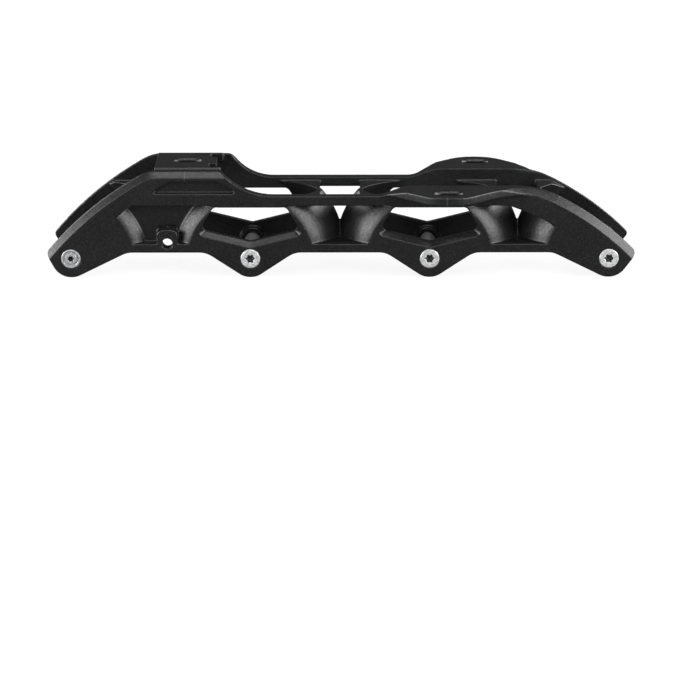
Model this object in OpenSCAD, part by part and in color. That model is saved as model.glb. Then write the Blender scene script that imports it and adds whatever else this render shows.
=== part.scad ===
// Inline skate frame for four wheels: one die casting, drawn as sections that meet face to face,
// and the four axle bolts that carry the wheels.
// X runs to the toe, Y to the left and Z up. The origin lies midway between the tips and the walls,
// at the level of the lowest edge. Heights called "above axles" start at the axle line.

/* [Wheels and wells] */
// Diameter of the largest wheel
wheel_d = 90; // [86:0.5:92]
// Gap between the treads of neighbouring wheels
wheel_gap = 1.67; // [1.4:0.01:3]
// Air between a tread and its well
well_air = 1.2; // [1:0.1:1.4]
// Width over a wheel's bearings, which is the distance between the axle bosses
hub_w = 24.2; // [22:0.2:26]
// Skin of a well on the frame's middle plane
well_t = 1.8; // [1.5:0.1:2.4]
// How far a well's outside rolls in towards the wheel's axle
drum_roll = 16.5; // [15:0.5:17]
// How far a well's inside rolls in towards the wheel's axle
well_roll = 13.2; // [12:0.2:14]
// Fullness of a well's outside: 1 is a cone and 2 an ellipse
drum_power = 1.4; // [1.2:0.05:1.5]
// Fullness of a well's inside
well_power = 1.4; // [1.3:0.05:1.6]
// Step from the upper rail's top down to the wells' decks
deck_drop = 2; // [1:0.2:3]
// Thickness of a deck
deck_t = 3; // [2:0.2:4]
// Reach of a deck from its wheel's axle
deck_l = 35.5; // [34.5:0.1:37]
// Bottom of the wells behind the brake holes above axles
brake_well_h = 14; // [13:0.5:16]
// Height above axles of the relief between two neighbouring wells
relief_h = 10.5; // [9.5:0.1:11.5]
// Width of the relief between two neighbouring wells
relief_w = 5; // [4:0.5:7]

/* [Side walls] */
// Width over both side walls
frame_w = 42; // [40:0.5:44]
// Thickness of a side wall
wall_t = 5; // [4.5:0.1:5.5]
// Radius of the lobe under each axle
lobe_r = 10; // [9:0.5:11]
// Reach of the rear tip behind the rear axle
rear_reach = 12.6; // [11.6:0.2:14]
// Reach of the front tip ahead of the front axle
front_reach = 14.2; // [13:0.2:15]
// Height of the rear and front tips above axles
tip_h = 2.6; // [2:0.2:3.2]
// Slope of the end lobes' flanks in degrees
end_flank = 26.5; // [24:0.5:30]
// Slope of the middle lobes' flanks in degrees
mid_flank = 34; // [30:0.5:38]
// Blend between a lobe's flank and the lower rail
flank_blend = 12; // [6:1:18]
// Underside of the lower rail above axles
low_rail = 3.2; // [2.6:0.1:4]
// Height of the lower rail
low_rail_t = 4.5; // [3.6:0.1:5.2]
// Underside of the upper rail above axles
high_rail = 27; // [26:0.5:28.5]
// Height of the upper rail
high_rail_t = 6; // [5:0.2:7]
// Recess over the wells into the upper rail
recess_up = 1; // [0:0.2:1.6]
// Start of the nose's slope behind the front axle
nose_from = 37.5; // [35:0.5:40]
// Bow of the nose over its chord
nose_bow = 3.1; // [1.5:0.1:4]
// Bevel along the nose
nose_bevel = 3.6; // [2:0.2:4]
// Width of the wall's band along the nose, beside the front recess
nose_band = 14; // [12:0.2:15]
// Bow of the rear arch over its chord
arch_bow = 3.4; // [1.5:0.1:5]
// Bevel along the rear arch and the heel
heel_bevel = 3; // [1.5:0.1:3.1]
// Width of the wall's band along the rear arch, beside the rear recess
arch_band = 10.8; // [9.6:0.2:12]

/* [Windows] */
// Half width of a window at its top
window_top = 18.5; // [17:0.1:19]
// Half width of a window at its sill's ends
window_wide = 26; // [25:0.1:26.4]
// Height of the sill's ends above axles
sill_end = 15; // [14:0.2:17]
// Height of the sill's middle above axles
sill_mid = 8.5; // [7.8:0.1:10]
// Bevel along the sill
sill_bevel = 2.8; // [1.5:0.1:3.2]

/* [Heel] */
// Top of the heel pad above axles
heel_h = 46.5; // [45.5:0.5:50]
// Step from the walls' top up to the heel pad
heel_step = 1; // [0.5:0.1:1.6]
// Thickness of the heel platform
heel_t = 4; // [3:0.2:5]
// Rear end of the walls' heel top, ahead of the rear axle
heel_from = 40.5; // [39:0.5:42]
// Front end of the heel on the right, ahead of the rear axle
heel_to = 77; // [75:0.5:78]
// How much further the heel reaches on the left
heel_more = 4; // [0.5:0.5:5]
// Heel pad's rear edge from the walls' rear end
pad_inset = 3; // [2:0.5:5]
// Width of the heel pad
pad_w = 30; // [28:0.2:31]
// Slope of the right wall ahead of the heel in degrees
heel_slope = 44; // [40:1:50]
// Blend of that slope into the upper rail
heel_blend = 34; // [20:1:40]
// Slope of the left wall ahead of the heel in degrees
left_slope = 54; // [50:1:56]
// Blend of that slope into the upper rail
left_blend = 25; // [16:1:26]
// Heel slot's centre ahead of the rear axle
heel_slot_x = 59.4; // [57:0.2:62]
// Depth of the notches beside the heel platform's tongue
notch_l = 6.5; // [5:0.5:8]
// Width over the notches
notch_w = 26; // [22:0.5:28]
// Width of the tongue between the notches
tongue_w = 12; // [9:0.5:14]
// Length of the tongue
tongue_l = 4; // [2:0.5:4.5]
// Depth of the pocket in a wall under the heel
pocket_t = 2.6; // [1.6:0.1:3]
// Height of the pocket
pocket_h = 6.3; // [5:0.1:7]
// Length of the pocket's upper edge
pocket_l = 24.5; // [20:0.5:26]
// Underside of the pocket above axles
pocket_up = 34.3; // [34:0.1:35]

/* [Toe] */
// Top of the toe wings above axles
toe_h = 37.5; // [36:0.5:40]
// Width over both toe wings
toe_w = 81; // [78:0.5:86]
// Thickness of a toe wing
wing_t = 4.2; // [3.6:0.1:4.4]
// Right toe slot's centre ahead of the third axle
right_slot_x = 9; // [7:0.5:12]
// Left toe slot's centre ahead of the third axle
left_slot_x = 25.4; // [23:0.2:27]
// Distance between the toe slots across the frame
slot_span = 62; // [59:0.5:64]
// Length of a wing's root behind its slot
wing_back = 31; // [28:0.5:33]
// Setback of the wings' front ends behind the start of the nose
wing_gap = 1.5; // [0.5:0.5:3]
// Length of the right wing's tail, which runs into the wall
tail_l = 13.3; // [11:0.1:15]
// Length over which the bevel on that tail grows to the nose's bevel
tail_run = 18; // [14:0.5:20]
// Half length of a wing's straight outer edge
wing_flat = 8; // [6:0.5:10]

/* [Slots and brake holes] */
// Width of a mounting slot
slot_w = 6.6; // [6:0.1:7.2]
// Length of a mounting slot
slot_l = 13.4; // [11:0.2:15]
// Bevel round a mounting slot
slot_bevel = 1; // [0.4:0.1:1.2]
// Diameter of a brake hole
brake_d = 5.4; // [4.5:0.1:6]
// Brake hole's centre ahead of the middle between the rear wheels
brake_x = 3.6; // [2:0.2:5]
// Brake hole's centre above axles
brake_h = 8; // [7.6:0.1:8.6]
// Length of a brake hole
brake_l = 6.7; // [6.6:0.1:7.2]
// Width of a brake boss
brake_w = 10.6; // [9.6:0.2:11.6]
// Top of a brake boss above axles
brake_top = 15.2; // [14.6:0.1:15.8]
// Depth of the panels round the brake bosses below the walls' outside
panel_in = 5.2; // [5.2:0.1:5.4]
// Width of those panels
panel_w = 38; // [37:0.5:40]
// Lip of a brake boss in front of the slit behind its top
slit_lip = 1.5; // [1:0.1:2]
// Underside of that slit above axles
slit_low = 13.2; // [12.6:0.1:13.6]
// Height of that slit
slit_h = 2.7; // [2:0.1:3.4]
// Length of that slit
slit_l = 8.8; // [7:0.2:9.2]

/* [Axles] */
// Diameter of an axle bolt
axle_d = 8; // [7:0.1:8.6]
// Diameter of an axle bolt's head
head_d = 10; // [9.6:0.1:10.6]
// Depth of a head's seat in the right wall
seat_t = 3; // [2:0.1:3.4]
// How far a head stands out of the right wall
head_out = 0.4; // [0:0.1:0.8]
// Radial clearance of an axle bolt in the frame
axle_fit = 0.05; // [0.03:0.01:0.08]
// Setback of an axle bolt's end in the left wall
tip_in = 0.6; // [0.2:0.1:1.5]
// Bevel at both ends of an axle bolt
axle_bevel = 0.5; // [0.2:0.1:0.8]
// Diameter of an axle boss
boss_d = 13; // [12:0.2:14.5]
// Size of a head's six-lobed socket over its lobes
socket_d = 5.4; // [4.6:0.1:6]
// Size of the rear head's smaller socket over its lobes
rear_socket_d = 3.8; // [3.2:0.1:4.2]
// Depth of a socket
socket_t = 2.4; // [1.6:0.1:3]
// Width of the ring sunk in the rear head
ring_w = 1.3; // [0.8:0.1:1.5]
// Depth of the ring sunk in the rear head
ring_t = 0.7; // [0.4:0.1:1.2]

/* [Hidden] */
$fn = 72;

casting = "#2b2c2e";
steel = "#c4c6c8";

// Cuts run this far past the faces that they open
past = 1;
// Wheels in the row
wheels = 4;
// A full turn and a quarter turn in degrees
full = 360;
quarter = full / 4;
// Angle between two points of an arc in an outline
arc_step = 6;
// Angle between two points of the rear arch, whose radius is large
bow_step = 2.5;
// Angle between two points of a well's profile
roll_step = 7.5;
// Facets that stand for a large circle in a preview
arch_facets = 180;
// How far the bevels run past the tips, in degrees
tip_over = 3;

// Places along and across the frame
pitch = wheel_d + wheel_gap;
wall_out = frame_w / 2;
wall_in = wall_out - wall_t;
axle_z = lobe_r;
well_r = wheel_d / 2 + well_air;
drum_r = well_r + well_t;
low_z = axle_z + low_rail;
shelf_z = low_z + low_rail_t;
high_z = axle_z + high_rail;
rail_z = high_z + high_rail_t;
deck_z = rail_z - deck_drop;
toe_z = axle_z + toe_h;
pad_z = axle_z + heel_h;
heel_z = pad_z - heel_step;
plate_z = pad_z - heel_t;
toe_half = toe_w / 2;
slot_y = slot_span / 2;

// Radii of the small corners in the outlines
tip_round = 2.5;
heel_round = 4;
arch_round = 20;
nose_round = 24;
wing_round = 2.3 * wing_flat;
ramp_round = 14;
pocket_round = 1;
window_round = 3;
sill_round = 3;
boss_round = 3;

// Lengths along the outlines: the wall's rise to a toe wing, the thin end of a wing's tail, and the
// run of a pocket's slanted ends
ramp_l = 13;
ramp_gap = 3;
tail_lip = 0.3;
pocket_lean = 10.8;
// Share of a wing's tail that its hollow curve takes up, and how much deeper than the nose's bevel
// the tail's gets
tail_share = 0.96;
tail_growth = 1.25;
// Land between the rear head's rim and its sunk ring
ring_land = 0.4;
// Lobes of a socket, and the depth of its flutes as a share of its size
lobes = 6;
flute = 1 / 14;

function axle_x(i) = (i - (wheels + 1) / 2) * pitch - (front_reach - rear_reach) / 2;
function gap_x(i) = (axle_x(i) + axle_x(i + 1)) / 2;
function ray(angle) = [cos(angle), sin(angle)];
function unit(v) = v / norm(v);
function flat(p) = [p[0], p[1]];

// Where the line through p at angle a meets the line through q at angle b
function meet(p, a, q, b) =
    let (d = q - p, k = (d[0] * sin(b) - d[1] * cos(b)) / sin(b - a))
    p + k * ray(a);

// Centre of the arc of radius r that rounds the corner b between a and c
function corner_centre(a, b, c, r) =
    let (u = unit(a - b), v = unit(c - b))
    b + unit(u + v) * r / sin(acos(u * v) / 2);

// Points of that arc
function corner(a, b, c, r) =
    let (
        u = unit(a - b),
        v = unit(c - b),
        half = acos(u * v) / 2,
        centre = corner_centre(a, b, c, r),
        from = b + u * r / tan(half) - centre,
        to = b + v * r / tan(half) - centre,
        start = atan2(from[1], from[0]),
        turn = (atan2(to[1], to[0]) - start + 2.5 * full) % full - full / 2,
        steps = max(2, ceil(abs(turn) / arc_step))
    )
    [for (k = [0 : steps]) centre + r * ray(start + turn * k / steps)];

// An outline from its corners, each [x, y, radius], where a radius of 0 leaves the corner sharp
function rounded(list) =
    let (n = len(list))
    [
        for (k = [0 : n - 1])
            let (b = list[k])
            each b[2] == 0
                ? [flat(b)]
                : corner(flat(list[(k + n - 1) % n]), flat(b), flat(list[(k + 1) % n]), b[2])
    ];

// The circle through p and q that bows out by bow on the left of the way from p to q
function bow_radius(p, q, bow) = (pow(norm(q - p) / 2, 2) + bow * bow) / (2 * bow);
function bow_centre(p, q, bow) =
    let (d = unit(q - p))
    (p + q) / 2 - [-d[1], d[0]] * (bow_radius(p, q, bow) - bow);

// Ends of the walls' top edges
rear_tip = [axle_x(1) - rear_reach, axle_z + tip_h];
front_tip = [axle_x(wheels) + front_reach, axle_z + tip_h];
arch_top = [axle_x(1) + heel_from, heel_z];
heel_front = [axle_x(1) + heel_to, heel_z];
nose_top = [axle_x(wheels) - nose_from, toe_z];
wing_end = nose_top[0] - wing_gap;
arch_r = bow_radius(rear_tip, arch_top, arch_bow);
arch_c = bow_centre(rear_tip, arch_top, arch_bow);
nose_r = bow_radius(nose_top, front_tip, nose_bow);
nose_c = bow_centre(nose_top, front_tip, nose_bow);

function bearing(v) = atan2(v[1], v[0]);

// Points of the circle above from q back to p, without these ends
function bow_points(p, q, bow) =
    let (
        c = bow_centre(p, q, bow),
        start = bearing(q - c),
        turn = bearing(p - c) - start,
        steps = ceil(turn / bow_step)
    )
    [for (k = [1 : steps - 1]) concat(c + norm(q - c) * ray(start + turn * k / steps), 0)];

arch_points = bow_points(rear_tip, arch_top, arch_bow);
nose_bow_points = bow_points(nose_top, front_tip, nose_bow);
// The last point is left out, to make room for the turn at the nose's start
nose_points = [for (k = [0 : len(nose_bow_points) - 2]) nose_bow_points[k]];
arch_turn_c = corner_centre(heel_front, arch_top, flat(arch_points[0]), arch_round);
nose_start = flat(nose_points[len(nose_points) - 1]);
nose_turn_c = corner_centre(nose_start, nose_top, nose_top - [1, 0], nose_round);

// Corners of the lobe under a middle axle, between the flanks' meetings with the lower rail
function mid_lobe(i) =
    let (c = [axle_x(i), axle_z], foot = c + lobe_r * ray(270 + mid_flank))
    let (side = meet(foot, mid_flank, [0, low_z], 0)[0] - c[0])
    [
        [c[0] - side, low_z, flank_blend],
        [c[0], axle_z - lobe_r / cos(mid_flank), lobe_r],
        [c[0] + side, low_z, flank_blend]
    ];

// Corners of an end lobe, from the tip to the lower rail. way is 1 at the rear and -1 at the front
function end_lobe(i, tip, way) =
    let (
        c = [axle_x(i), axle_z],
        flank = way > 0 ? end_flank : 180 - end_flank,
        touch = bearing(tip - c) + way * acos(lobe_r / norm(tip - c)),
        foot = c + lobe_r * ray(270 + way * end_flank),
        low = meet(tip, touch + quarter, foot, flank),
        rail = meet(foot, flank, [0, low_z], 0)
    )
    [concat(tip, tip_round), concat(low, lobe_r), concat(rail, flank_blend)];

function turned(list) = [for (k = [len(list) - 1 : -1 : 0]) list[k]];

// Corners of a side wall whose toe wing is centred on wing_x and whose heel ends at heel_end, with
// the given slope ahead of it and the given blend below
function wall_corners(wing_x, heel_end, slope, blend) = concat(
    end_lobe(1, rear_tip, 1),
    mid_lobe(2),
    mid_lobe(3),
    turned(end_lobe(wheels, front_tip, -1)),
    nose_points,
    [
        concat(nose_top, nose_round),
        [wing_x - wing_back - ramp_gap + ramp_l, toe_z, ramp_round],
        [wing_x - wing_back - ramp_gap, rail_z, ramp_round],
        concat(meet([heel_end, heel_z], -slope, [0, rail_z], 0), blend),
        [heel_end, heel_z, heel_round],
        concat(arch_top, arch_round)
    ],
    arch_points
);

function right_corners() =
    wall_corners(axle_x(3) + right_slot_x, heel_front[0], heel_slope, heel_blend);
function left_corners() =
    wall_corners(axle_x(3) + left_slot_x, heel_front[0] + heel_more, left_slope, left_blend);

// Corners of the window over axle i
function window_corners(i) = [
    [axle_x(i) - window_top, high_z, window_round],
    [axle_x(i) - window_wide, axle_z + sill_end, window_round],
    [axle_x(i), axle_z + sill_mid, sill_round],
    [axle_x(i) + window_wide, axle_z + sill_end, window_round],
    [axle_x(i) + window_top, high_z, window_round]
];

// An outline in X and Z, made solid on the right side from y = -near to y = -far
module slab(near, far) {
    translate([0, -near, 0]) rotate([90, 0, 0]) linear_extrude(far - near) children();
}

// An outline in Y and Z, made solid along X from 0 to length
module bar(length) {
    rotate([90, 0, 90]) linear_extrude(length) children();
}

// A box given by its lowest and highest corners
module box(low, high) {
    translate(low) cube(high - low);
}

// What is turned about Z here turns about axle i, with +Z pointing to the right side
module about_axle(i) {
    translate([axle_x(i), 0, axle_z]) rotate([90, 0, 0]) children();
}

// A wheel-shaped body: straight sides, then a roll of depth roll out to radius r, whose profile
// is the superellipse |(radius - r + roll) / roll| ^ power + |y / half| ^ power = 1
module wheel_body(i, r, roll, half, power) {
    steps = ceil(quarter / roll_step);
    side = [
        for (k = [0 : steps])
            let (a = quarter * k / steps)
            [r - roll + roll * pow(cos(a), 2 / power), half * pow(sin(a), 2 / power)]
    ];
    low_side = [for (p = turned(side)) [p[0], -p[1]]];
    outline = concat([[0, -half]], low_side, [for (k = [1 : len(side) - 1]) side[k]], [[0, half]]);
    about_axle(i) rotate_extrude() polygon(outline);
}

module drum(i) {
    wheel_body(i, drum_r, drum_roll, wall_out, drum_power);
}

module wheel_space(i) {
    wheel_body(i, well_r, well_roll, wall_in, well_power);
}

// A cut that bevels the right wall's outer edge along a line from p at the given angle
module edge_cut(p, angle, length, bevel) {
    top = wall_out - bevel;
    translate([p[0], 0, p[1]]) rotate([0, -angle, 0]) bar(length)
        polygon([
            [-top + past, past],
            [-wall_out - past, -bevel - past],
            [-wall_out - past, past]
        ]);
}

// The same cut along an arc about c, between the bearings from and to
module arc_cut(c, r, from, to, bevel) {
    reach = 2 * r;
    intersection() {
        translate([c[0], 0, c[1]]) rotate([90, 0, 0]) rotate_extrude($fn = arch_facets)
            polygon([
                [r + past, wall_out - bevel - past],
                [r - bevel - past, wall_out + past],
                [r + past, wall_out + past]
            ]);
        slab(0, wall_out + 2 * past)
            polygon([c, c + reach * ray(from), c + reach * ray((from + to) / 2), c + reach * ray(to)]);
    }
}

// Bevel along the rear arch, the turn above it and the heel, past its front end on both sides
module heel_bevel_cut() {
    run = heel_front[0] + heel_more + heel_bevel - arch_turn_c[0];
    turn = bearing(arch_top - arch_c);
    arc_cut(arch_c, arch_r, turn, bearing(rear_tip - arch_c) + tip_over, heel_bevel);
    arc_cut(arch_turn_c, arch_round, quarter, turn, heel_bevel);
    edge_cut([arch_turn_c[0], heel_z], 0, run, heel_bevel);
}

// Bevel along the nose, from the end of the toe wing on
module nose_bevel_cut() {
    slope = bearing(nose_start - nose_top);
    turn_end = nose_turn_c + nose_round * ray(slope + quarter);
    arc_cut(
        nose_c,
        nose_r,
        bearing(front_tip - nose_c) - tip_over,
        bearing(nose_start - nose_c),
        nose_bevel
    );
    intersection() {
        arc_cut(nose_turn_c, nose_round, slope + quarter, quarter, nose_bevel);
        box([wing_end, -wall_out - past, 0], [front_tip[0], 0, pad_z]);
    }
    edge_cut(turn_end, slope, norm(nose_start - turn_end), nose_bevel);
}

// Corners of the right toe wing's hollow front edge: its outer end, its turn into the tail and the
// tail's end
tail_edge = [
    [axle_x(3) + right_slot_x + wing_flat, -toe_half],
    [wing_end - tail_l, -wall_out - tail_lip],
    [wing_end, -wall_out - tail_lip]
];
tail_r = tail_share * tail_l / tan(bearing(tail_edge[1] - tail_edge[0]) / 2);

// Bevel along that edge, which grows towards the nose and goes on as the nose's bevel
module tail_cut() {
    c = corner_centre(tail_edge[0], tail_edge[1], tail_edge[2], tail_r);
    depth = tail_growth * nose_bevel;
    translate([wing_end - tail_run, c[1], toe_z]) rotate([0, atan2(depth, tail_run), 0])
        translate([c[0] - wing_end + tail_run, 0, 0]) rotate_extrude($fn = arch_facets)
            polygon([
                [tail_r - past, -past],
                [tail_r + depth + past, depth + past],
                [tail_r - past, depth + past]
            ]);
}

// A half of the bevel along a window's sill, ahead of axle i
module sill_cut(i) {
    run = [window_wide, sill_end - sill_mid];
    slope = bearing(run);
    intersection() {
        translate([axle_x(i), 0, axle_z + sill_mid])
            edge_cut(-sill_bevel * ray(slope), slope, norm(run) + sill_bevel - sill_round, sill_bevel);
        box([axle_x(i), -wall_out - past, axle_z], [axle_x(i) + window_wide, 0, high_z]);
    }
    at = [axle_x(i), axle_z + sill_mid] + run - sill_round * ray(slope);
    translate([at[0], -wall_out - past, at[1]]) rotate([-90, 0, 0])
        cylinder(h = sill_bevel + past, r1 = sill_bevel + past, r2 = 0);
}

// The space beside two neighbouring wells that is cut out of the right wall, down to y = -floor_y
module well_recess(i, floor_y) {
    difference() {
        box(
            [axle_x(i), -wall_out - past, shelf_z],
            [axle_x(i + 1), -floor_y, high_z + recess_up]
        );
        drum(i);
        drum(i + 1);
    }
}

// The space inside the circle about c in X and Z, right of the middle
module band_space(c, r) {
    translate([c[0], 0, c[1]]) rotate([90, 0, 0]) cylinder(h = wall_out + 2 * past, r = r);
}

// The pocket in the right wall under the heel
module heel_pocket() {
    low = axle_z + pocket_up;
    high = low + pocket_h;
    from = arch_top[0];
    to = from + 2 * pocket_lean + pocket_l;
    slab(wall_out - pocket_t, wall_out + past)
        polygon(rounded([
            [from, low, pocket_round],
            [from + pocket_lean, high, pocket_round],
            [to - pocket_lean, high, pocket_round],
            [to, low, pocket_round]
        ]));
}

// The panel inside the right wall that closes the recess round the brake boss
module brake_panel() {
    rim = brake_l - panel_in;
    difference() {
        box(
            [gap_x(1) - panel_w / 2, -wall_in, shelf_z - rim],
            [gap_x(1) + panel_w / 2, brake_l - wall_out, high_z + recess_up + rim]
        );
        wheel_space(1);
        wheel_space(2);
    }
}

// Outline of a brake boss in X and Z
module brake_outline() {
    x = gap_x(1) + brake_x;
    polygon(rounded([
        [x - brake_w / 2, low_z, 0],
        [x - brake_w / 2, axle_z + brake_top, boss_round],
        [x + brake_w / 2, axle_z + brake_top, boss_round],
        [x + brake_w / 2, low_z, 0]
    ]));
}

// The slit behind the top of a brake boss
module brake_slit() {
    x = gap_x(1) + brake_x;
    low = axle_z + slit_low;
    box(
        [x - slit_l / 2, -wall_out + slit_lip, low],
        [x + slit_l / 2, -wall_out + brake_l + past, low + slit_h]
    );
}

// A side wall from its corners, drawn on the right
module side_wall(corners) {
    difference() {
        union() {
            slab(wall_in, wall_out) polygon(rounded(corners));
            brake_panel();
        }
        for (i = [2, 3]) {
            slab(wall_in - past, wall_out + past) polygon(rounded(window_corners(i)));
            sill_cut(i);
            translate([2 * axle_x(i), 0, 0]) mirror([1, 0, 0]) sill_cut(i);
        }
        for (i = [1 : wheels])
            about_axle(i) cylinder(h = wall_out + past, d = axle_d + 2 * axle_fit);
        intersection() {
            well_recess(1, wall_out - panel_in);
            band_space(arch_c, arch_r - arch_band);
        }
        well_recess(2, wall_in - past);
        intersection() {
            well_recess(3, wall_in - past);
            band_space(nose_c, nose_r - nose_band);
        }
        slab(wall_out - brake_l - past, wall_out + past) brake_outline();
        brake_slit();
        heel_pocket();
        heel_bevel_cut();
        nose_bevel_cut();
    }
}

// The four bosses inside a wall that the wheels' bearings bear on, drawn on the right
module axle_bosses() {
    for (i = [1 : wheels])
        about_axle(i) translate([0, 0, hub_w / 2]) difference() {
            cylinder(h = wall_in - hub_w / 2, d = boss_d);
            translate([0, 0, -past])
                cylinder(h = wall_in - hub_w / 2 + 2 * past, d = axle_d + 2 * axle_fit);
        }
}

// The boss with the screw hole for a brake, drawn on the right
module brake_boss() {
    difference() {
        slab(wall_out - brake_l, wall_out) brake_outline();
        translate([gap_x(1) + brake_x, 0, axle_z + brake_h]) rotate([90, 0, 0])
            cylinder(h = wall_out + past, d = brake_d);
        brake_slit();
    }
}

// A slot through the face at height z, with its bevelled rim
module mounting_slot(x, y, z, depth) {
    run = slot_l - slot_w;
    rim = slot_w / 2 + slot_bevel;
    translate([x, y, z]) {
        box([-run / 2, -slot_w / 2, -depth], [run / 2, slot_w / 2, past]);
        translate([-run / 2, 0, 0]) bar(run)
            polygon([[-rim - past, past], [0, -rim], [rim + past, past]]);
        for (end = [-run / 2, run / 2])
            translate([end, 0, 0]) {
                translate([0, 0, -depth]) cylinder(h = depth + past, d = slot_w);
                translate([0, 0, -slot_bevel])
                    cylinder(h = slot_bevel + past, r1 = slot_w / 2, r2 = rim + past);
            }
    }
}

// The plate between the walls that the boot's heel stands on
module heel_plate() {
    pad_x = arch_top[0] + pad_inset;
    front_x = heel_front[0];
    notch_x = front_x - notch_l;
    difference() {
        union() {
            box([pad_x, -wall_in, plate_z], [front_x, wall_in, heel_z]);
            box([pad_x, -pad_w / 2, plate_z], [front_x, pad_w / 2, pad_z]);
        }
        difference() {
            box([notch_x, -notch_w / 2, plate_z - past], [front_x + past, notch_w / 2, pad_z + past]);
            box([notch_x - past, -tongue_w / 2, plate_z - past], [notch_x + tongue_l, tongue_w / 2, pad_z]);
        }
        wheel_space(2);
        mounting_slot(axle_x(1) + heel_slot_x, 0, pad_z, heel_t + past);
    }
}

// A toe wing, drawn on the right: its slot is at x, edge holds the corners from the end of its
// straight outer edge to its front end, and its top follows the wall's top edge
module toe_wing(x, edge, corners) {
    root = [[x - wing_back, -wall_out, 0], [x - wing_flat, -toe_half, wing_round]];
    difference() {
        intersection() {
            translate([0, 0, toe_z - wing_t]) linear_extrude(wing_t)
                polygon(rounded(concat(root, edge, [[wing_end, -wall_out, 0]])));
            slab(wall_out, toe_half) polygon(rounded(corners));
        }
        mounting_slot(x, -slot_y, toe_z, toe_h);
    }
}

// A box across the frame between the walls, from a to b ahead of axle i (way = 1) or behind it (-1)
module cross_box(i, way, a, b, low, high) {
    ends = [axle_x(i) + way * a, axle_x(i) + way * b];
    box([min(ends), -wall_in, low], [max(ends), wall_in, high]);
}

// The skin round one quarter of wheel i, towards its front (way = 1) or its rear (way = -1),
// from low up to high, with a deck across its top, and with a foot on the lower rail where it has
// one. It stays below the top edge of the walls
module well(i, way, low, high, foot) {
    from = window_top / 2;
    to = pitch / 2;
    difference() {
        intersection() {
            union() {
                intersection() {
                    drum(i);
                    cross_box(i, way, from, to, low, high);
                }
                cross_box(i, way, from, deck_l, deck_z - deck_t, deck_z);
                if (foot)
                    cross_box(i, way, from, to, low_z, shelf_z);
            }
            translate([0, 0, -deck_drop]) slab(-wall_in, wall_in)
                polygon(rounded(left_corners()));
        }
        wheel_space(i);
        wheel_space(i + way);
        translate([gap_x(way > 0 ? i : i - 1) - pitch / 2, -relief_w / 2, 0])
            cube([pitch, relief_w, axle_z + relief_h]);
    }
}

// The panels of both walls
module brake_panels() {
    brake_panel();
    mirror([0, 1, 0]) brake_panel();
}

// A six-lobed socket, size over its lobes, cut down from z = 0
module socket(size) {
    depth = size * flute;
    steps = lobes * ceil(full / lobes / arc_step);
    translate([0, 0, -socket_t]) linear_extrude(socket_t + past)
        polygon([
            for (k = [0 : steps - 1])
                let (a = full * k / steps)
                (size / 2 - depth + depth * cos(lobes * a)) * ray(a)
        ]);
}

// The axle bolt of wheel i: a head in the right wall, and a shank into the left wall's thread
module axle_bolt(i) {
    top = wall_out + head_out;
    seat = wall_out - seat_t;
    tip = -wall_out + tip_in;
    rear = i == 1;
    about_axle(i) difference() {
        rotate_extrude() polygon([
            [0, top],
            [head_d / 2 - axle_bevel, top],
            [head_d / 2, top - axle_bevel],
            [head_d / 2, seat],
            [axle_d / 2, seat],
            [axle_d / 2, tip + axle_bevel],
            [axle_d / 2 - axle_bevel, tip],
            [0, tip]
        ]);
        translate([0, 0, top]) socket(rear ? rear_socket_d : socket_d);
        if (rear)
            translate([0, 0, top - ring_t]) rotate_extrude()
                translate([head_d / 2 - axle_bevel - ring_land - ring_w, 0])
                    square([ring_w, ring_t + past]);
    }
}

// This wall also has the heads' seats
module right_side_wall() {
    color(casting) difference() {
        side_wall(right_corners());
        tail_cut();
        for (i = [1 : wheels])
            about_axle(i) translate([0, 0, wall_out - seat_t])
                cylinder(h = seat_t + past, d = head_d + 2 * axle_fit);
    }
}

module left_side_wall() {
    color(casting) mirror([0, 1, 0]) side_wall(left_corners());
}

module right_axle_bosses() {
    color(casting) axle_bosses();
}

module left_axle_bosses() {
    color(casting) mirror([0, 1, 0]) axle_bosses();
}

module right_brake_boss() {
    color(casting) brake_boss();
}

module left_brake_boss() {
    color(casting) mirror([0, 1, 0]) brake_boss();
}

module heel_platform() {
    color(casting) heel_plate();
}

module right_toe_wing() {
    edge = [
        concat(tail_edge[0], wing_round),
        concat(tail_edge[1], tail_r),
        concat(tail_edge[2], 0)
    ];
    color(casting) difference() {
        toe_wing(axle_x(3) + right_slot_x, edge, right_corners());
        tail_cut();
    }
}

module left_toe_wing() {
    x = axle_x(3) + left_slot_x;
    edge = [[x + wing_flat, -toe_half, wing_round]];
    color(casting) mirror([0, 1, 0]) toe_wing(x, edge, left_corners());
}

module wheel_1_front_well() {
    color(casting) difference() {
        well(1, 1, axle_z + brake_well_h, deck_z, false);
        brake_panels();
    }
}

// This well rises to the heel platform, behind the platform's notches
module wheel_2_rear_well() {
    color(casting) difference() {
        well(2, -1, axle_z + brake_well_h, plate_z, false);
        brake_panels();
        box([heel_front[0] - notch_l, -wall_out, deck_z], [axle_x(2), wall_out, pad_z]);
    }
}

module wheel_2_front_well() {
    color(casting) well(2, 1, shelf_z, deck_z, true);
}

module wheel_3_rear_well() {
    color(casting) well(3, -1, shelf_z, deck_z, true);
}

module wheel_3_front_well() {
    color(casting) well(3, 1, shelf_z, deck_z, true);
}

module wheel_4_rear_well() {
    color(casting) well(4, -1, shelf_z, deck_z, true);
}

module axle_1() {
    color(steel) axle_bolt(1);
}

module axle_2() {
    color(steel) axle_bolt(2);
}

module axle_3() {
    color(steel) axle_bolt(3);
}

module axle_4() {
    color(steel) axle_bolt(4);
}

right_side_wall();
left_side_wall();
right_axle_bosses();
left_axle_bosses();
right_brake_boss();
left_brake_boss();
heel_platform();
right_toe_wing();
left_toe_wing();
wheel_1_front_well();
wheel_2_rear_well();
wheel_2_front_well();
wheel_3_rear_well();
wheel_3_front_well();
wheel_4_rear_well();
axle_1();
axle_2();
axle_3();
axle_4();
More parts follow.
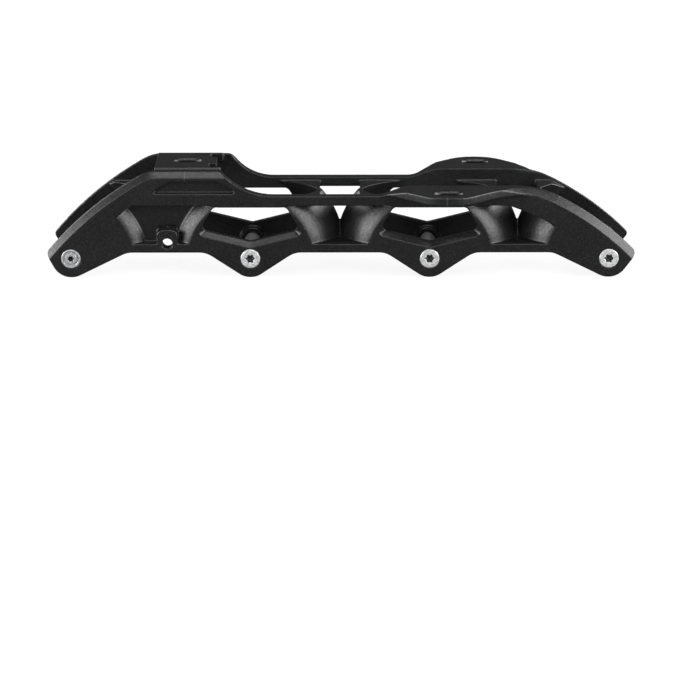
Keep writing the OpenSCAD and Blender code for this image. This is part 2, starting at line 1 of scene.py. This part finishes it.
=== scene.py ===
# %% [markdown]
# # Inline skate frame
# A black die-cast frame for four wheels in a row, with four steel axle bolts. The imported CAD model
# comes in first as a fixed frame, in metres, and everything here is built where the CAD says.

import math

import bpy
import numpy as np
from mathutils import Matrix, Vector


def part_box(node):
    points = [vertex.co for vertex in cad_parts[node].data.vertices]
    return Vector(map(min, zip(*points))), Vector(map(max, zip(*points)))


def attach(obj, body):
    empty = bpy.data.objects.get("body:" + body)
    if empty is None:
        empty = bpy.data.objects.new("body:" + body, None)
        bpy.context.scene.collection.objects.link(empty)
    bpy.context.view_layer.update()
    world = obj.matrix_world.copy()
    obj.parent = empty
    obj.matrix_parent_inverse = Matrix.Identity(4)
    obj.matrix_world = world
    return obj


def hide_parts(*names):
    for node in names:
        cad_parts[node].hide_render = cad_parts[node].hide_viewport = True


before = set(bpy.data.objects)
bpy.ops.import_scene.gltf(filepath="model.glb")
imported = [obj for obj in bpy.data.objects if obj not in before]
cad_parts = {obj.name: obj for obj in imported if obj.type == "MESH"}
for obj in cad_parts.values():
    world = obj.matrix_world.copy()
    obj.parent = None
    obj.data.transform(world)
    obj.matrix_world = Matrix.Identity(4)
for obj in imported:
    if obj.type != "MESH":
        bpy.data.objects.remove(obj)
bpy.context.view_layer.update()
MM = 0.001


# %% [markdown]
# ## Camera
# The photograph looks at the right-hand wall from a little above and from far away, so that near
# and far wall have nearly the same size. A long lens gives that. The camera is turned down a little
# more than its line of sight to the frame, which puts the frame in the upper half of the picture
# without any lens shift.

# %% Camera
PICTURE_PX = 700
FOCAL_PX = 2347.0
CAMERA_AT = Vector((0.12, -1165.75, 370.63)) * MM
# The line that runs straight along Y, and down by SIGHT_DOWN, meets the picture at SIGHT_PX.
SIGHT_DOWN = math.radians(16.4)
SIGHT_PX = (341.4, 214.1)

centre = PICTURE_PX / 2
down = SIGHT_DOWN + math.atan((centre - SIGHT_PX[1]) / FOCAL_PX)
aside = math.atan((centre - SIGHT_PX[0]) / FOCAL_PX)
look = Vector((math.sin(aside) * math.cos(down), math.cos(aside) * math.cos(down), -math.sin(down)))

lens = bpy.data.cameras.new("camera")
lens.sensor_fit = "HORIZONTAL"
lens.sensor_width = 36.0
lens.lens = lens.sensor_width * FOCAL_PX / PICTURE_PX
lens.clip_start = 0.05
lens.clip_end = 50.0
camera = bpy.data.objects.new("camera", lens)
bpy.context.scene.collection.objects.link(camera)
camera.location = CAMERA_AT
camera.rotation_euler = look.to_track_quat("-Z", "Y").to_euler()
bpy.context.scene.camera = camera
print("lens", round(lens.lens, 1), "mm, looking down", round(math.degrees(down), 2), "degrees")

# %% [markdown]
# ## Meshes from arrays
# Every new piece is a set of faces worked out with numpy. One helper turns the arrays into a mesh
# object at the origin, shaded smooth. Others read a mesh's points and edges back, and give each
# point the mean of its neighbours, which both the smoothing and the edge wear need.

# %% Mesh helpers
def mesh_object(name, points, faces, uv=None):
    """A mesh from an array of points, and an array of faces with equally many corners. uv holds one
    pair for each face corner, in the order of the faces."""
    faces = np.asarray(faces, np.int32)
    count, corners = faces.shape
    mesh = bpy.data.meshes.new(name)
    mesh.vertices.add(len(points))
    mesh.vertices.foreach_set("co", np.asarray(points, np.float32).ravel())
    mesh.loops.add(count * corners)
    mesh.loops.foreach_set("vertex_index", faces.ravel())
    mesh.polygons.add(count)
    mesh.polygons.foreach_set("loop_start", np.arange(count, dtype=np.int32) * corners)
    mesh.polygons.foreach_set("use_smooth", np.ones(count, bool))
    if uv is not None:
        layer = mesh.uv_layers.new(name="UVMap")
        layer.data.foreach_set("uv", np.asarray(uv, np.float32).ravel())
    mesh.update(calc_edges=True)
    mesh.validate()
    piece = bpy.data.objects.new(name, mesh)
    bpy.context.scene.collection.objects.link(piece)
    return piece


def rows_of(items, key, width, kind):
    """What a mesh's points, edges or triangles hold under a key, as an array with a row each."""
    values = np.empty(len(items) * width, kind)
    items.foreach_get(key, values)
    return values.reshape(-1, width)


def points_and_edges(mesh):
    """The places of a mesh's points, and the two points of each edge."""
    points = rows_of(mesh.vertices, "co", 3, np.float32).astype(float)
    return points, rows_of(mesh.edges, "vertices", 2, np.int32)


def edge_count(edges, count):
    """The number of edges at each of count points, or 1 where there are none."""
    return np.maximum(np.bincount(edges.ravel(), minlength=count), 1)


def neighbour_mean(values, edges):
    """For each point, the mean of the values at the points that its edges lead to."""
    count = len(values)
    a, b = edges.T
    total = np.stack(
        [
            np.bincount(a, column[b], count) + np.bincount(b, column[a], count)
            for column in values.T
        ],
        axis=1,
    )
    return total / edge_count(edges, count)[:, None]


# %% [markdown]
# ## The casting
# On the real frame the walls, wells, platform and wings are one die casting, and every edge is
# softened by the die and the coat. The CAD holds them as sections that meet face to face, so they
# could be shown as they are, but their seams and knife edges would show. Instead copies of all the
# sections go into one mesh, a voxel remesh melts them into one skin, and a few rounds of smoothing
# round the edges as a die does. Where a toe wing's front end runs into its wall, some more rounds
# melt a small step.

# %% Copies of the casting's sections
AXLES = ["axle_1", "axle_2", "axle_3", "axle_4"]
REAR_AXLE = AXLES[0]
SECTIONS = [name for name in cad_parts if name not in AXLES]
DIGITS = 7


def node_arrays(name):
    """A CAD node's triangles as arrays, with corners at the same place merged into one point: the
    points are rounded to a ten-thousandth of a millimetre and each place is kept once."""
    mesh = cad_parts[name].data
    mesh.calc_loop_triangles()
    points = rows_of(mesh.vertices, "co", 3, np.float32)
    corners = rows_of(mesh.loop_triangles, "vertices", 3, np.int32)
    kept, place = np.unique(points.round(DIGITS), axis=0, return_inverse=True)
    return kept, place.ravel()[corners]


arrays = [node_arrays(name) for name in SECTIONS]
starts = np.cumsum([0] + [len(points) for points, _ in arrays[:-1]])
all_points = np.concatenate([points for points, _ in arrays])
all_faces = np.concatenate([faces + start for (_, faces), start in zip(arrays, starts)])
casting = mesh_object("casting", all_points, all_faces)
print("sections", len(SECTIONS), "triangles", len(all_faces))

# %% Helpers for the skin
BEYOND = 1.2


def baked(piece):
    """Replaces a piece's mesh by what its modifiers make of it."""
    graph = bpy.context.evaluated_depsgraph_get()
    mesh = bpy.data.meshes.new_from_object(piece.evaluated_get(graph))
    old = piece.data
    piece.modifiers.clear()
    piece.data = mesh
    mesh.name = piece.name
    bpy.data.meshes.remove(old)


def eased(points, edges, rounds, pull, push):
    """Points moved to and fro between themselves and their neighbours' mean: by pull towards it,
    then by push away from it, so that steps fade and the shape doesn't shrink."""
    for _ in range(rounds):
        points = points + pull * (neighbour_mean(points, edges) - points)
        points = points - push * (neighbour_mean(points, edges) - points)
    return points


def melted(points, edges, spot, reach, rounds):
    """Points near a spot, given in mm, moved to their neighbours' mean by the share
    (1 - d^2 / reach^2)^2 at the distance d from it, which melts a small step there. Points a little
    BEYOND the reach stay where they are, but count as neighbours."""
    away = np.linalg.norm(points - np.array(spot) * MM, axis=1) / (reach * MM)
    near = np.flatnonzero(away < BEYOND)
    place = np.full(len(points), -1)
    place[near] = np.arange(len(near))
    inner = place[edges]
    inner = inner[(inner >= 0).all(axis=1)]
    share = np.clip(1 - away[near] ** 2, 0, 1)[:, None] ** 2
    moved = points[near]
    for _ in range(rounds):
        moved = moved + share * (neighbour_mean(moved, inner) - moved)
    points = points.copy()
    points[near] = moved
    return points


# %% One skin
VOXEL = 0.4 * MM
WING_ENDS = [(99.0, -19.0, 45.5), (97.0, 20.0, 46.0)]

remesh = casting.modifiers.new("remesh", "REMESH")
remesh.mode = "VOXEL"
remesh.voxel_size = VOXEL
baked(casting)
skin, skin_edges = points_and_edges(casting.data)
skin = eased(skin, skin_edges, rounds=4, pull=0.5, push=0.35)
for spot in WING_ENDS:
    skin = melted(skin, skin_edges, spot, reach=10.0, rounds=40)
casting.data.vertices.foreach_set("co", skin.astype(np.float32).ravel())
print("skin points", len(skin))

# %% Fewer triangles on the flats
MOST_TRIANGLES = 190000

casting.data.calc_loop_triangles()
thin = casting.modifiers.new("thin", "DECIMATE")
thin.ratio = min(1.0, MOST_TRIANGLES / len(casting.data.loop_triangles))
baked(casting)
casting.data.polygons.foreach_set("use_smooth", np.ones(len(casting.data.polygons), bool))
casting.data.calc_loop_triangles()
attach(casting, "frame")
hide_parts(*SECTIONS)
print("casting triangles", len(casting.data.loop_triangles))

# %% [markdown]
# ## Axle bolts
# Each wheel turns on a steel bolt: a flat round head with a six-lobed socket, a plain shank, and a
# thread that bites into the far wall. The rear one has a sunk ring and a smaller socket. A bolt
# could be cut from cylinders, but a lathe gives the same: one outline, row by row, turned about the
# axle. The socket's flutes and the thread are ripples of the row's radius, so one formula makes it
# all.

# %% Rows of a bolt's outline, in mm
HEAD_Y = -21.4
SEAT_Y = -18.0
THREAD_Y = 12.4
THREAD_END_Y = 19.5
TIP_Y = 20.4
HEAD_R = 4.96
SHANK_R = 3.95
POLE_R = 0.02
PITCH = 1.25
THREAD_DEPTH = 0.5
THREAD_FADE = 0.8
ROWS_A_TURN = 12
FLUTES = 6


def plain(radius, y):
    """A row without flutes or thread."""
    return (radius, y, 0.0, 0.0)


def socket_rows(radius, flute, depth, lip):
    """Rows of a socket from its floor to the head's face: radius, y, flute, thread."""
    floor = HEAD_Y + depth
    mouth = radius + lip
    return [
        plain(POLE_R, floor + 0.35),
        (0.5 * radius, floor + 0.2, 0.4 * flute, 0.0),
        (radius - 0.12, floor, flute, 0.0),
        (radius, floor - 0.15, flute, 0.0),
        (radius, HEAD_Y + 0.45, flute, 0.0),
        (radius + 0.3 * lip, HEAD_Y + 0.18, flute, 0.0),
        (mouth, HEAD_Y + 0.02, 0.6 * flute, 0.0),
        plain(mouth + 0.35, HEAD_Y),
    ]


def rim_rows(bevel):
    """Rows round the head's outer edge: a quarter circle of the given radius."""
    return [
        plain(HEAD_R - bevel + bevel * math.sin(a), HEAD_Y + bevel - bevel * math.cos(a))
        for a in np.linspace(0.0, math.pi / 2, 6)
    ]


def shank_rows():
    """Rows from the head's side to the bolt's end. The thread's depth fades in at its start and out
    at its end."""
    turns = (THREAD_END_Y - THREAD_Y) / PITCH
    run = np.linspace(THREAD_Y, THREAD_END_Y, int(turns * ROWS_A_TURN))
    inside = np.minimum(run - THREAD_Y, THREAD_END_Y - run)
    depth = THREAD_DEPTH * np.clip(inside / THREAD_FADE, 0.0, 1.0)
    side = [plain(HEAD_R, SEAT_Y - 0.1), plain(HEAD_R - 0.1, SEAT_Y)]
    neck = [plain(SHANK_R + 0.15, SEAT_Y), plain(SHANK_R, SEAT_Y + 0.15)]
    shank = [plain(SHANK_R, y) for y in np.linspace(SEAT_Y + 2, THREAD_Y - 0.4, 8)]
    thread = [(SHANK_R, y, 0.0, d) for y, d in zip(run, depth)]
    tip = [plain(SHANK_R - 0.1, TIP_Y - 0.7), plain(SHANK_R - 0.6, TIP_Y)]
    end = [plain(1.5, TIP_Y), plain(POLE_R, TIP_Y)]
    return side + neck + shank + thread + tip + end


# %% Outlines of both kinds of bolt
MOUTH_ROW = 6
RIM = 0.5

bright_socket = socket_rows(radius=2.3, flute=0.27, depth=2.3, lip=0.22)
bright_face = [plain(3.6, HEAD_Y), plain(4.2, HEAD_Y)]
dull_socket = socket_rows(radius=1.6, flute=0.2, depth=2.2, lip=0.2)
sunk_ring = [
    plain(2.75, HEAD_Y + 0.1),
    plain(3.05, HEAD_Y + 0.6),
    plain(3.3, HEAD_Y + 0.7),
    plain(3.9, HEAD_Y + 0.66),
    plain(4.1, HEAD_Y + 0.5),
    plain(4.25, HEAD_Y + 0.05),
]
bright_rows = bright_socket + bright_face + rim_rows(RIM) + shank_rows()
dull_rows = dull_socket + sunk_ring + rim_rows(RIM) + shank_rows()
print("rows of a bolt", len(bright_rows), "and of the rear bolt", len(dull_rows))

# %% The lathe
AROUND = 96
SHARP = math.radians(38)


def ways(rows):
    """The way along an outline up to each of its rows, in units of 100 mm."""
    r, y = np.array(rows).T[:2]
    return np.concatenate([[0.0], np.cumsum(np.hypot(np.diff(r), np.diff(y)))]) / 100


def lathe_faces(along):
    """Faces from each row to the next, and over both ends, where each takes two steps of the ring
    and the pole. The poles come after all the rows' points. The UV is the share of a turn, and the
    way along the outline."""
    last = len(along) - 1
    ring = np.arange(AROUND)
    start = np.arange(last)[:, None] * AROUND
    low, side = (start + ring).ravel(), (start + (ring + 1) % AROUND).ravel()
    u, step = np.tile(ring / AROUND, last), 1 / AROUND
    v, w = np.repeat(along[:-1], AROUND), np.repeat(along[1:], AROUND)
    faces = [np.stack([low, low + AROUND, side + AROUND, side], axis=1)]
    uv = [np.stack([u, v, u, w, u + step, w, u + step, v], axis=1)]
    fan = np.stack([ring[::2], ring[1::2], (ring[1::2] + 1) % AROUND], axis=1)
    for pole, row, corners in [(0, 0, fan), (1, last, fan[:, ::-1])]:
        middle = np.full((len(fan), 1), len(along) * AROUND + pole)
        faces.append(np.concatenate([middle, corners + row * AROUND], axis=1))
        spot = np.stack([fan[:, 0] / AROUND, np.full(len(fan), along[row])], axis=1)
        uv.append(np.tile(spot, (1, 4)))
    return np.concatenate(faces), np.concatenate(uv)


def lathe(name, x, z, rows):
    """A surface of revolution about a line along Y at (x, z), in mm. At the angle a and in the row
    (r, y, flute, thread) the radius is
    r - flute (1 - cos 6a) - thread (1 - cos(2 pi y / pitch - a)) / 2.
    A pole on the axle closes each end."""
    r, y, flute, thread = np.array(rows).T[:, :, None]
    a = np.linspace(0.0, 2 * np.pi, AROUND, endpoint=False)[None, :]
    radius = r - flute * (1 - np.cos(FLUTES * a))
    radius = radius - thread * (0.5 - 0.5 * np.cos(2 * np.pi * y / PITCH - a))
    points = np.stack([x + radius * np.cos(a), y + 0 * a, z + radius * np.sin(a)], axis=-1)
    poles = [[x, y[0, 0], z], [x, y[-1, 0], z]]
    points = np.concatenate([points.reshape(-1, 3), poles])
    piece = mesh_object(name, points * MM, *lathe_faces(ways(rows)))
    piece.data.set_sharp_from_angle(angle=SHARP)
    return piece


# %% Bolts turned on the lathe
bolts = {}
for name in AXLES:
    low, high = (np.array(corner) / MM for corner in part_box(name))
    x, z = (low[0] + high[0]) / 2, (low[2] + high[2]) / 2
    rear = name == REAR_AXLE
    bolt = lathe(name + "_bolt", x, z, dull_rows if rear else bright_rows)
    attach(bolt, name)
    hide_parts(name)
    bolts[name] = bolt
    print(bolt.name, "at", round(float(x), 2), round(float(z), 2))

# %% [markdown]
# ## Where edges are
# Handling rubs a coat on its outer edges first, and plating thins there too. Rounded edges also
# catch the light, and the materials make them paler as a painted highlight as well as wear, so
# they need to know where those are. A bevel shader could find them while rendering, but it is slow
# and isn't kept in an export, so the edges are measured once: how far each point stands out over
# the mean of its neighbours, along its own normal, as a share of its edges' length.

# %% Edge measure
SHORTEST = 1e-9


def mark_edges(piece, rounds):
    """Writes the point attribute edge: n . (p - m) / d for a point p with the normal n, the mean m
    of its neighbours and their mean distance d, spread over its neighbours a few times."""
    mesh = piece.data
    points, edges = points_and_edges(mesh)
    normals = rows_of(mesh.vertices, "normal", 3, np.float32)
    count = len(points)
    a, b = edges.T
    length = np.linalg.norm(points[a] - points[b], axis=1)
    total = np.bincount(a, length, count) + np.bincount(b, length, count)
    mean = np.maximum(total / edge_count(edges, count), SHORTEST)
    off = points - neighbour_mean(points, edges)
    value = (off * normals).sum(axis=1, keepdims=True) / mean[:, None]
    for _ in range(rounds):
        value = 0.5 * value + 0.5 * neighbour_mean(value, edges)
    layer = mesh.attributes.new("edge", "FLOAT", "POINT")
    layer.data.foreach_set("value", value[:, 0].astype(np.float32))
    return float(value.min()), float(value.max())


for piece in [casting, *bolts.values()]:
    least, most = mark_edges(piece, rounds=2)
    print(piece.name, "edge from", round(least, 2), "to", round(most, 2))

# %% [markdown]
# ## Shared surface effects
# The coat and both steels share two effects, so each is a node group. The first is a fine grain: a
# powder coat dries with tiny bumps, and plated steel is finely pitted. The second is the rub on
# outer edges together with a painted highlight there, broken up by noise so that it isn't an even
# line.

# %% Node helpers
def new_group(name, inputs, outputs):
    """A shader node group with float inputs, given with their values, and float outputs."""
    group = bpy.data.node_groups.new(name, "ShaderNodeTree")
    for label, value in inputs.items():
        socket = group.interface.new_socket(label, in_out="INPUT", socket_type="NodeSocketFloat")
        socket.default_value = value
    for label in outputs:
        group.interface.new_socket(label, in_out="OUTPUT", socket_type="NodeSocketFloat")
    return group, group.nodes.new("NodeGroupInput"), group.nodes.new("NodeGroupOutput")


def add(tree, kind, links=None, **values):
    """A node with its settings, and its inputs linked or set by name or number."""
    node = tree.nodes.new(kind)
    for key, value in values.items():
        setattr(node, key, value)
    for key, source in (links or {}).items():
        if isinstance(source, bpy.types.NodeSocket):
            tree.links.new(source, node.inputs[key])
        else:
            node.inputs[key].default_value = source
    return node


def calc(tree, operation, *values):
    """The result of one step of arithmetic."""
    return add(tree, "ShaderNodeMath", dict(enumerate(values)), operation=operation).outputs[0]


def times(tree, a, b):
    """The product of two values."""
    return calc(tree, "MULTIPLY", a, b)


def noise(tree, place, scale, detail):
    """A soft random value about 0.5, with the given number of waves a metre."""
    links = {"Vector": place, "Scale": scale, "Detail": detail}
    return add(tree, "ShaderNodeTexNoise", links).outputs[0]


def spread(tree, value, low, high, to_low=0.0, to_high=1.0):
    """Maps a value's range smoothly onto another."""
    links = {0: value, 1: low, 2: high, 3: to_low, 4: to_high}
    return add(tree, "ShaderNodeMapRange", links, interpolation_type="SMOOTHSTEP").outputs[0]


# %% Fine grain
FLECKS_FINER = 1.7
CLOUD_WAVES = 45.0

grain, entry, out = new_group("fine_grain", {"Scale": 1500.0}, ["Height", "Fleck", "Cloud"])
place = add(grain, "ShaderNodeTexCoord").outputs["Object"]
waves = entry.outputs["Scale"]
bumps = noise(grain, place, waves, 2.0)
flecks = noise(grain, place, times(grain, waves, FLECKS_FINER), 1.0)
clouds = noise(grain, place, CLOUD_WAVES, 4.0)
grain.links.new(bumps, out.inputs["Height"])
grain.links.new(spread(grain, flecks, 0.48, 0.74), out.inputs["Fleck"])
grain.links.new(spread(grain, clouds, 0.3, 0.7), out.inputs["Cloud"])
print(grain.name, "nodes", len(grain.nodes))

# %% Rubbed edges and painted edge highlight
BREAK_WAVES = 260.0

# A mask of outer edges, where coat and plating wear and where a highlight is painted.
edge_wear_and_highlight, entry, out = new_group("rubbed_and_highlit_edges", {"From": 0.06, "To": 0.3}, ["Mask"])
edge = add(edge_wear_and_highlight, "ShaderNodeAttribute", attribute_name="edge").outputs["Fac"]
place = add(edge_wear_and_highlight, "ShaderNodeTexCoord").outputs["Object"]
line = spread(edge_wear_and_highlight, edge, entry.outputs["From"], entry.outputs["To"])
broken = spread(edge_wear_and_highlight, noise(edge_wear_and_highlight, place, BREAK_WAVES, 3.0), 0.3, 0.62, 0.35, 1.0)
edge_wear_and_highlight.links.new(times(edge_wear_and_highlight, line, broken), out.inputs["Mask"])
print(edge_wear_and_highlight.name, "nodes", len(edge_wear_and_highlight.nodes))

# %% [markdown]
# ## Black coat
# The frame is powder coated in satin black. Up close the coat is slightly grainy and a little paler
# where it wraps an edge, partly from wear and partly as a painted highlight. A plain dark colour
# with a gloss would look like plastic film, so the grain goes into bump and roughness, and flecks
# and the pale edges, worn and painted highlight, into the colour. Thin lines on the heel's bevels
# and on the toe wings' outer edges show where the parts of the die met.

# %% Material helpers
def new_material(name, **settings):
    """A material with its shader's constant settings, which are set on the sockets themselves."""
    material = bpy.data.materials.new(name)
    material.use_nodes = True
    shader = material.node_tree.nodes["Principled BSDF"]
    for key, value in settings.items():
        shader.inputs[key.replace("_", " ")].default_value = value
    return material, material.node_tree, shader


def grouped(tree, group, **values):
    """What a node group puts out, with its own values here."""
    return add(tree, "ShaderNodeGroup", values, node_tree=group).outputs


def blend(tree, share, first, second):
    """A colour between two, by a share."""
    links = {0: share, 6: first, 7: second}
    return add(tree, "ShaderNodeMix", links, data_type="RGBA").outputs[2]


def apply_finish(tree, shader, colour, roughness, height, strength, depth):
    """Links a shader's colour and roughness, and its relief from a height."""
    links = {"Strength": strength, "Distance": depth, "Height": height}
    relief = add(tree, "ShaderNodeBump", links).outputs[0]
    for key, source in [("Base Color", colour), ("Roughness", roughness), ("Normal", relief)]:
        tree.links.new(source, shader.inputs[key])


# %% Black coat
COAT_DEEP = (0.003, 0.0031, 0.0033, 1)
COAT_CLOUD = (0.007, 0.0071, 0.0073, 1)
COAT_FLECK = (0.032, 0.0325, 0.0335, 1)
# Pale grey of rubbed edges and of the painted edge highlight, also used for the die lines.
COAT_WEAR_AND_HIGHLIGHT = (0.085, 0.086, 0.088, 1)
COAT_WAVES = 1000.0
COAT_RELIEF = 0.13 * MM
# Each line's x, the distance from the middle plane where it starts, and its lowest point, in mm.
DIE_LINES = [(-79.3, 17.2, 50.0), (52.8, 38.5, 20.0)]


def die_line(tree, place, x, side, low):
    """A thin line at x across the frame, further than side from the middle plane and higher than
    low, all in mm."""
    along, across, up = add(tree, "ShaderNodeSeparateXYZ", {0: place}).outputs
    off = calc(tree, "ABSOLUTE", calc(tree, "SUBTRACT", along, x * MM))
    away = calc(tree, "ABSOLUTE", across)
    line = spread(tree, off, 0.1 * MM, 0.35 * MM, 1.0, 0.0)
    outside = spread(tree, away, side * MM, (side + 0.4) * MM)
    above = spread(tree, up, low * MM, (low + 1.0) * MM)
    return times(tree, times(tree, line, outside), above)


coat, tree, shader = new_material("black_coat", Specular_IOR_Level=0.5)
fine = grouped(tree, grain, Scale=COAT_WAVES)
worn_and_lit = grouped(tree, edge_wear_and_highlight, From=0.05, To=0.32)
place = add(tree, "ShaderNodeTexCoord").outputs["Object"]
body = blend(tree, fine["Cloud"], COAT_DEEP, COAT_CLOUD)
body = blend(tree, times(tree, fine["Fleck"], 0.6), body, COAT_FLECK)
# Painted highlight and wear: outer edges are blended towards pale grey.
body = blend(tree, times(tree, worn_and_lit["Mask"], 0.5), body, COAT_WEAR_AND_HIGHLIGHT)
for x, side, low in DIE_LINES:
    line = times(tree, die_line(tree, place, x, side, low), 0.6)
    body = blend(tree, line, body, COAT_WEAR_AND_HIGHLIGHT)
satin = spread(tree, fine["Height"], 0.3, 0.7, 0.3, 0.42)
apply_finish(tree, shader, body, satin, fine["Height"], strength=0.5, depth=COAT_RELIEF)
casting.data.materials.append(coat)
print(coat.name, "nodes", len(tree.nodes))

# %% [markdown]
# ## Bolt steel
# Three bolts are bright plated steel with fine pits, and the rear one is duller. The plating is
# patchy, and the patches are drawn out round the axle, as the steel was turned. A noise in space
# wouldn't follow that, so they come from the lathe's own UV: its first coordinate runs round the
# axle, and its second along the outline. The socket's inside is painted dark as painted shade, and
# the shank is greyer than the head. Outer edges are paler, partly from worn plating and partly
# as a painted highlight.

# %% Bolt steels
BRIGHT = (0.95, 0.96, 0.97, 1)
BRIGHT_PIT = (0.42, 0.425, 0.435, 1)
DULL = (0.55, 0.56, 0.57, 1)
DULL_PIT = (0.29, 0.295, 0.305, 1)
# Painted shade: the dark colour of the socket's inside.
SOCKET_SHADE_PAINT = (0.03, 0.03, 0.031, 1)
SHANK_GREY = (0.22, 0.22, 0.225, 1)
# Pale steel on outer edges, partly worn plating and partly a painted highlight.
STEEL_WEAR_AND_HIGHLIGHT = (0.85, 0.86, 0.87, 1)
STEEL_WAVES = 800.0
STEEL_RELIEF = 0.03 * MM
PATCHES_ROUND = 14.0
PATCHES_ALONG = 260.0


def bolt_steel(name, bright, pit, rough, rows):
    """Plated steel: from bright to the pits' colour by its pits, and by patches that follow the
    turning. The socket ends at its mouth's row, and the shank starts at the head's seat."""
    steel, tree, shader = new_material(name, Metallic=0.4)
    fine = grouped(tree, grain, Scale=STEEL_WAVES)
    worn_and_lit = grouped(tree, edge_wear_and_highlight, From=0.1, To=0.4)
    place = add(tree, "ShaderNodeTexCoord").outputs
    turn, way, _ = add(tree, "ShaderNodeSeparateXYZ", {0: place["UV"]}).outputs
    across = add(tree, "ShaderNodeSeparateXYZ", {0: place["Object"]}).outputs[1]
    patches = {0: times(tree, turn, PATCHES_ROUND), 1: times(tree, way, PATCHES_ALONG)}
    turning = noise(tree, add(tree, "ShaderNodeCombineXYZ", patches).outputs[0], 1.0, 2.0)
    mouth = float(ways(rows)[MOUTH_ROW])
    # Painted shade inside the socket, up to its mouth.
    socket_shade = spread(tree, way, mouth - 0.006, mouth - 0.001, 0.92, 0.0)
    on_shank = spread(tree, across, (SEAT_Y - 0.1) * MM, (SEAT_Y + 0.2) * MM, 0.0, 0.85)
    body = blend(tree, times(tree, fine["Fleck"], 0.7), bright, pit)
    body = blend(tree, spread(tree, turning, 0.4, 0.64, 0.0, 0.8), body, pit)
    body = blend(tree, socket_shade, body, SOCKET_SHADE_PAINT)
    body = blend(tree, on_shank, body, SHANK_GREY)
    # Painted highlight and wear: the steel's outer edges are blended towards pale steel.
    body = blend(tree, times(tree, worn_and_lit["Mask"], 0.4), body, STEEL_WEAR_AND_HIGHLIGHT)
    satin = spread(tree, turning, 0.3, 0.7, rough - 0.06, rough + 0.08)
    height = calc(tree, "ADD", fine["Height"], turning)
    apply_finish(tree, shader, body, satin, height, strength=0.4, depth=STEEL_RELIEF)
    print(name, "nodes", len(tree.nodes))
    return steel


bright_steel = bolt_steel("bright_steel", BRIGHT, BRIGHT_PIT, 0.34, bright_rows)
dull_steel = bolt_steel("dull_steel", DULL, DULL_PIT, 0.4, dull_rows)
for name, bolt in bolts.items():
    bolt.data.materials.append(dull_steel if name == REAR_AXLE else bright_steel)

# %% [markdown]
# ## Floor, light and world
# The photograph has a white ground, and light from both sides and from above: the wells' flanks and
# the bevels shine, and the flat walls stay dark. A lamp at each corner would leave hard streaks, so
# there is a wide low softbox at each side, a narrow one overhead for the heel's bevel, and weaker
# ones in front and behind. The floor and the world are white to the camera only, darker in
# reflections, and the floor still takes the frame's shadow.

# %% Floor and world
FLOOR_HALF = 6.0
FLOOR_GREY = (0.13, 0.13, 0.13, 1)
WHITE = (1, 1, 1, 1)


def seen(tree, direct, mirrored):
    """A level for rays from the camera and another for rays from a gloss, else 0."""
    path = add(tree, "ShaderNodeLightPath").outputs
    to_camera = times(tree, path["Is Camera Ray"], direct)
    return calc(tree, "MAXIMUM", to_camera, times(tree, path["Is Glossy Ray"], mirrored))


floor = mesh_object(
    "floor",
    np.array([[-1, -1, 0], [1, -1, 0], [1, 1, 0], [-1, 1, 0]]) * FLOOR_HALF,
    np.array([[0, 1, 2, 3]]),
)
floor_paint, tree, shader = new_material(
    "floor_paint",
    Roughness=0.9,
    Specular_IOR_Level=0.0,
    Base_Color=FLOOR_GREY,
    Emission_Color=WHITE,
)
tree.links.new(seen(tree, 0.89, 0.06), shader.inputs["Emission Strength"])
floor.data.materials.append(floor_paint)

world = bpy.data.worlds.new("world")
bpy.context.scene.world = world
world.use_nodes = True
tree = world.node_tree
background = tree.nodes["Background"]
background.inputs["Color"].default_value = WHITE
tree.links.new(seen(tree, 1.0, 0.08), background.inputs["Strength"])
print("floor", 2 * FLOOR_HALF, "m wide")

# %% Soft lights
FRAME_MIDDLE = Vector((0.0, 0.0, 0.03))
# Each light's place, its width and height in metres, and its power in watts.
LIGHTS = {
    "top_light": ((0.0, -0.3, 1.2), (0.9, 0.28), 4.5),
    "front_light": ((0.0, -0.9, 0.82), (0.9, 0.4), 3.8),
    "left_light": ((-0.95, -0.3, 0.22), (1.2, 0.4), 13.5),
    "right_light": ((0.95, -0.3, 0.38), (1.2, 0.74), 18.5),
    "back_left_light": ((-0.9, 0.5, 0.4), (0.4, 0.6), 6.0),
    "back_right_light": ((0.9, 0.5, 0.4), (0.4, 0.6), 6.0),
}


def softbox(name, place, size, power):
    """A rectangular light that faces the frame and is hidden from the camera itself."""
    lamp = bpy.data.lights.new(name, "AREA")
    lamp.shape = "RECTANGLE"
    lamp.size, lamp.size_y = size
    lamp.energy = power
    piece = bpy.data.objects.new(name, lamp)
    bpy.context.scene.collection.objects.link(piece)
    piece.location = place
    piece.rotation_euler = (FRAME_MIDDLE - Vector(place)).to_track_quat("-Z", "Y").to_euler()
    piece.visible_camera = False
    print(name, power, "W")


for name, (place, size, power) in LIGHTS.items():
    softbox(name, place, size, power)
bpy.context.scene.view_settings.view_transform = "Standard"
